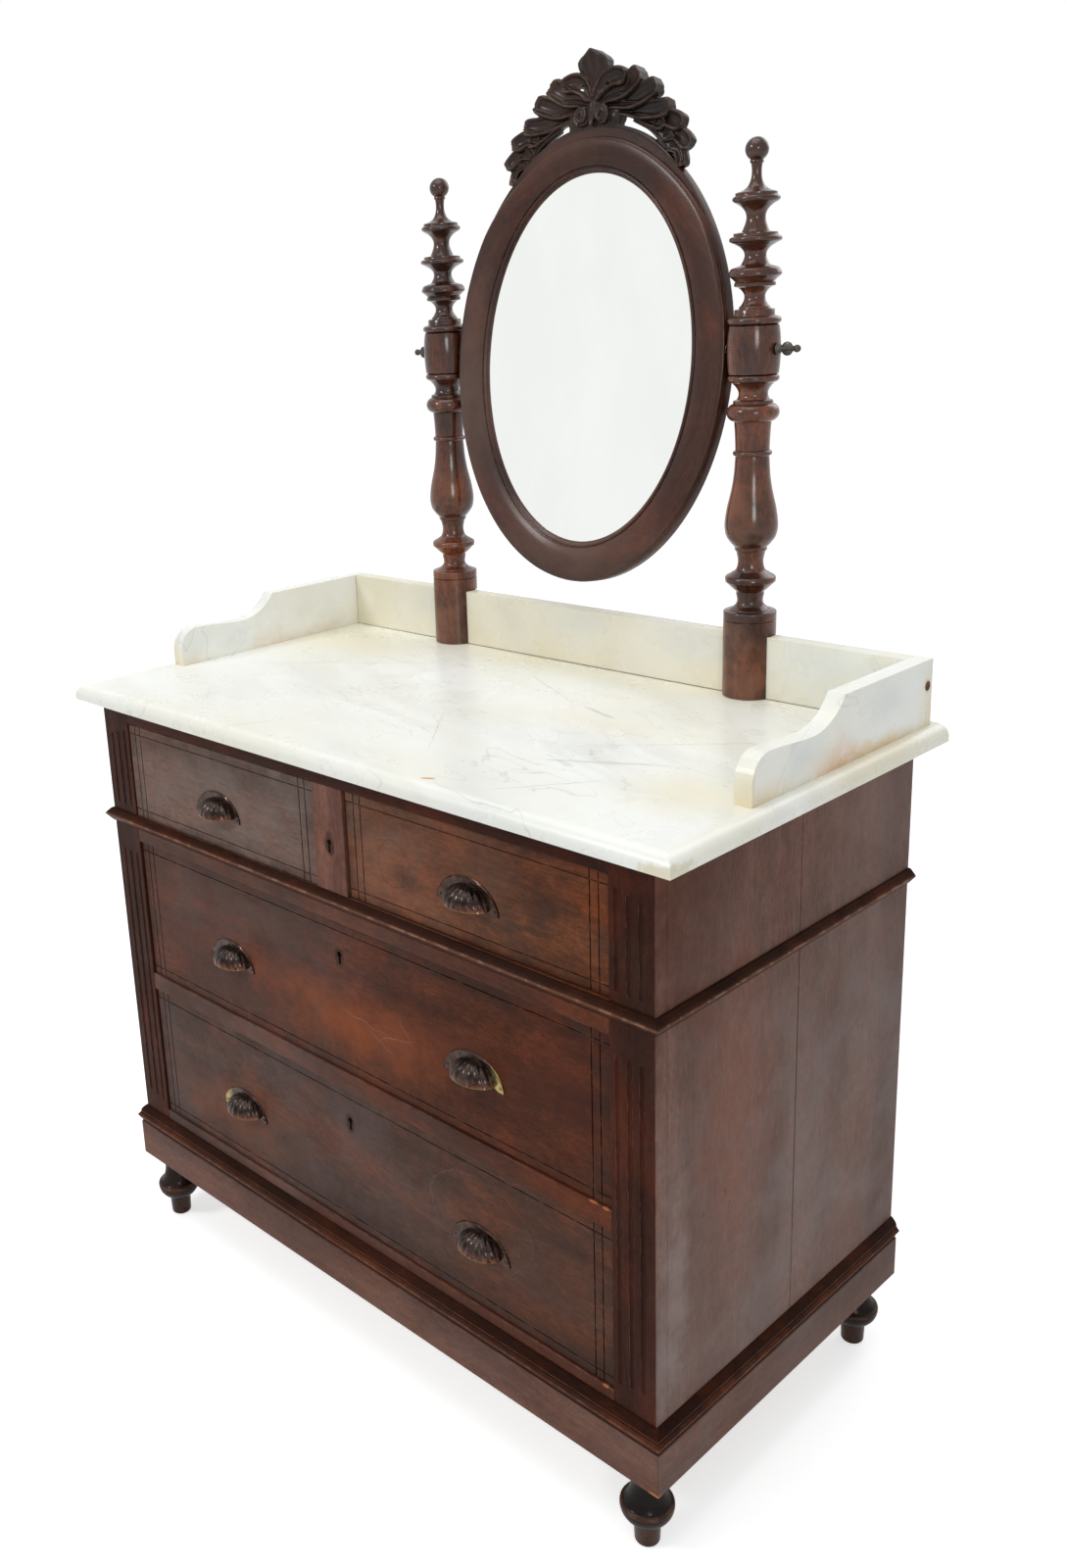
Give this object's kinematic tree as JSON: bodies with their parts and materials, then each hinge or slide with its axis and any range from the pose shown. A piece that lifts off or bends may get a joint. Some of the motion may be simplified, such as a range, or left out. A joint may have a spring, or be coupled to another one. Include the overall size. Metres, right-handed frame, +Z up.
{
  "type": "washstand",
  "caption": "Washstand as a chest of drawers on turned feet, with a marble top and upstands and a tilting oval mirror hung between turned posts.",
  "frame": {"origin": "on the floor, under the middle of the object's bounding box", "axes": "+Z up; the drawers face -Y; +X is to the right seen from the front"},
  "size_m": [1.07, 0.5788, 1.7033],
  "materials": {
    "mahogany": "old french polish, satin",
    "rail_wood": "old french polish, satin",
    "carved_wood": "dark stained, satin",
    "pine": "bare, dusty",
    "marble": "polished",
    "mirror": "silvered glass",
    "pull_brass": "dark patina",
    "iron": "dark, dull",
    "lock_iron": "dull"
  },
  "bodies": {
    "stand": {"marble_top": "marble", "marble_back": "marble", "marble_side_left": "marble", "marble_side_right": "marble", "gallery_pins": "iron", "side_left": "mahogany", "side_right": "mahogany", "stile_left": "mahogany", "stile_right": "mahogany", "top_rail": "mahogany", "top_bearers": "pine", "muntin": "rail_wood", "waist_rail": "rail_wood", "middle_rail": "rail_wood", "bottom_rail": "rail_wood", "waist_moulding": "mahogany", "base_moulding": "mahogany", "plinth_front": "mahogany", "plinth_left": "mahogany", "plinth_right": "mahogany", "plinth_back": "pine", "corner_blocks": "pine", "foot_front_left": "mahogany", "foot_front_right": "mahogany", "foot_back_left": "mahogany", "foot_back_right": "mahogany", "back_boards": "pine", "runners": "pine", "drawer_stops": "pine", "post_left": "mahogany", "post_right": "mahogany", "post_screws": "iron", "muntin_lock": "lock_iron"},
    "drawer_upper_left": {"front_upper_left": "mahogany", "box_upper_left": "pine", "bottom_upper_left": "pine", "pull_upper_left": "pull_brass"},
    "drawer_upper_right": {"front_upper_right": "mahogany", "box_upper_right": "pine", "bottom_upper_right": "pine", "pull_upper_right": "pull_brass"},
    "drawer_middle": {"front_middle": "mahogany", "box_middle": "pine", "bottom_middle": "pine", "pulls_middle": "pull_brass", "lock_middle": "lock_iron"},
    "drawer_lower": {"front_lower": "mahogany", "box_lower": "pine", "bottom_lower": "pine", "pulls_lower": "pull_brass", "lock_lower": "lock_iron"},
    "lock_bolt_middle": {"bolt_middle": "lock_iron"},
    "lock_bolt_lower": {"bolt_lower": "lock_iron"},
    "mirror": {"mirror_frame": "mahogany", "mirror_glass": "mirror", "mirror_backboard": "pine", "mirror_crest": "carved_wood", "mirror_sockets": "pull_brass"},
    "wing_left": {"wing_screw_left": "iron"},
    "wing_right": {"wing_screw_right": "iron"}
  },
  "joints": [
    {"name": "drawer_upper_left_slide", "type": "slide", "parent": "stand", "child": "drawer_upper_left", "axis": [0, -1, 0], "range_m": [0, 0.33]},
    {"name": "drawer_upper_right_slide", "type": "slide", "parent": "stand", "child": "drawer_upper_right", "axis": [0, -1, 0], "range_m": [0, 0.33]},
    {"name": "drawer_middle_slide", "type": "slide", "parent": "stand", "child": "drawer_middle", "axis": [0, -1, 0], "range_m": [0, 0.33]},
    {"name": "drawer_lower_slide", "type": "slide", "parent": "stand", "child": "drawer_lower", "axis": [0, -1, 0], "range_m": [0, 0.33]},
    {"name": "lock_bolt_middle_throw", "type": "slide", "parent": "drawer_middle", "child": "lock_bolt_middle", "axis": [0, 0, 1], "range_m": [0, 0.006]},
    {"name": "lock_bolt_lower_throw", "type": "slide", "parent": "drawer_lower", "child": "lock_bolt_lower", "axis": [0, 0, 1], "range_m": [0, 0.006]},
    {"name": "mirror_tilt", "type": "hinge", "parent": "stand", "child": "mirror", "pos_m": [0, 0.24109, 1.321], "axis": [1, 0, 0], "range_deg": [-54, 66]},
    {"name": "wing_left_turn", "type": "hinge", "parent": "stand", "child": "wing_left", "pos_m": [-0.3, 0.24109, 1.321], "axis": [-1, 0, 0], "range_deg": [0, 180]},
    {"name": "wing_right_turn", "type": "hinge", "parent": "stand", "child": "wing_right", "pos_m": [0.3, 0.24109, 1.321], "axis": [1, 0, 0], "range_deg": [0, 180]}
  ]
}
